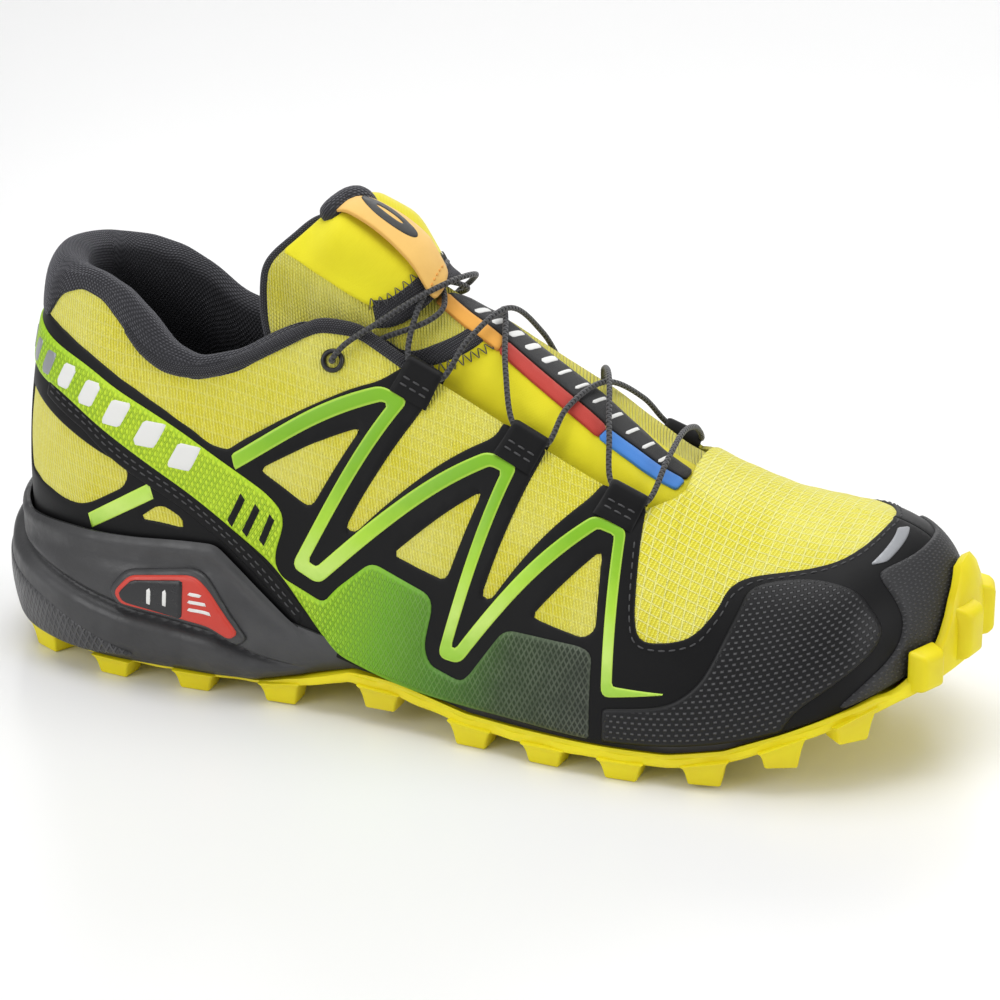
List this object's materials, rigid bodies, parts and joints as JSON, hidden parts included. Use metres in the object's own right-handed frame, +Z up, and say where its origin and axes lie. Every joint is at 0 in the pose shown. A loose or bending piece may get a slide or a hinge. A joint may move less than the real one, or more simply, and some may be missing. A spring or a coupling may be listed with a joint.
{
  "type": "running shoe",
  "caption": "Right trail running shoe in yellow mesh with black welded overlays, a green zigzag, quick laces with a sliding lock and a lugged yellow rubber sole.",
  "frame": {"origin": "middle of the footprint on the ground, under the centre of the bounding box", "axes": "+X runs from the heel to the toe, +Y to the medial (inner) side, +Z up"},
  "size_m": [0.3039, 0.1098, 0.1465],
  "materials": {
    "outsole_rubber": "matte moulded rubber",
    "midsole_foam": "matte foamed plastic",
    "crash_pad_foam": "matte foam with a fine crosshatch",
    "badge_red": "moulded gloss",
    "badge_black": "moulded gloss",
    "board": "pressed fibre board",
    "sockliner_knit": "brushed knit on foam",
    "yellow_mesh": "open woven mesh",
    "lining_knit": "smooth knit",
    "stiffener": "thermoformed sheet",
    "padding_foam": "open-cell foam",
    "black_knit": "ribbed knit",
    "black_film": "welded film, satin",
    "green_line": "raised print",
    "green_band": "embossed film, lime to black",
    "guard_rubber": "fine stipple",
    "reflector": "silver reflective film",
    "yellow_stretch": "smooth stretch fabric",
    "orange_strap": "satin",
    "label_weave": "woven label",
    "eyelet_plastic": "moulded gloss",
    "lace_cord": "tight braid",
    "lock_plastic": "moulded satin",
    "lock_red": "moulded gloss",
    "spring_steel": "bright wire",
    "loop_webbing": "flat webbing"
  },
  "bodies": {
    "shoe": {"outsole": "outsole_rubber", "midsole": "midsole_foam", "heel_crash_pad": "crash_pad_foam", "badge_frame_lateral": "badge_red", "badge_frame_medial": "badge_red", "badge_plate_lateral": "badge_black", "badge_plate_medial": "badge_black", "lasting_board": "board", "sockliner": "sockliner_knit", "quarter_lateral": "yellow_mesh", "quarter_medial": "yellow_mesh", "vamp": "yellow_mesh", "vamp_lining": "lining_knit", "heel_counter": "stiffener", "toe_puff": "stiffener", "collar_foam": "padding_foam", "collar_lining": "black_knit", "film_lateral": "black_film", "film_medial": "black_film", "zigzag_line_lateral": "green_line", "zigzag_line_medial": "green_line", "heel_band_lateral": "green_band", "heel_band_medial": "green_band", "mudguard_lateral": "guard_rubber", "mudguard_medial": "guard_rubber", "toe_cap": "guard_rubber", "toe_reflector": "reflector", "tongue_face": "yellow_mesh", "tongue_foam": "padding_foam", "tongue_lining": "black_knit", "lace_pocket": "yellow_stretch", "pocket_binding": "black_knit", "pull_strap": "orange_strap", "tongue_label": "label_weave", "eyelet_lateral": "eyelet_plastic", "eyelet_medial": "eyelet_plastic", "lace": "lace_cord", "lace_end_tab": "lock_plastic", "lace_loop_lateral_1": "loop_webbing", "lace_loop_lateral_2": "loop_webbing", "lace_loop_lateral_3": "loop_webbing", "lace_loop_medial_1": "loop_webbing", "lace_loop_medial_2": "loop_webbing", "lace_loop_medial_3": "loop_webbing"},
    "lace_lock": {"lock_body": "lock_plastic", "lock_spring": "spring_steel"},
    "lock_button": {"lock_button": "lock_red"}
  },
  "joints": [
    {"name": "lock_slide", "type": "slide", "parent": "shoe", "child": "lace_lock", "axis": [0.8819, 0, -0.4715], "range_m": [0, 0.006]},
    {"name": "button_press", "type": "slide", "parent": "lace_lock", "child": "lock_button", "axis": [0.8819, 0, -0.4715], "range_m": [0, 0.0016], "stiffness_N_per_m": 600, "springref_m": -0.0008}
  ]
}
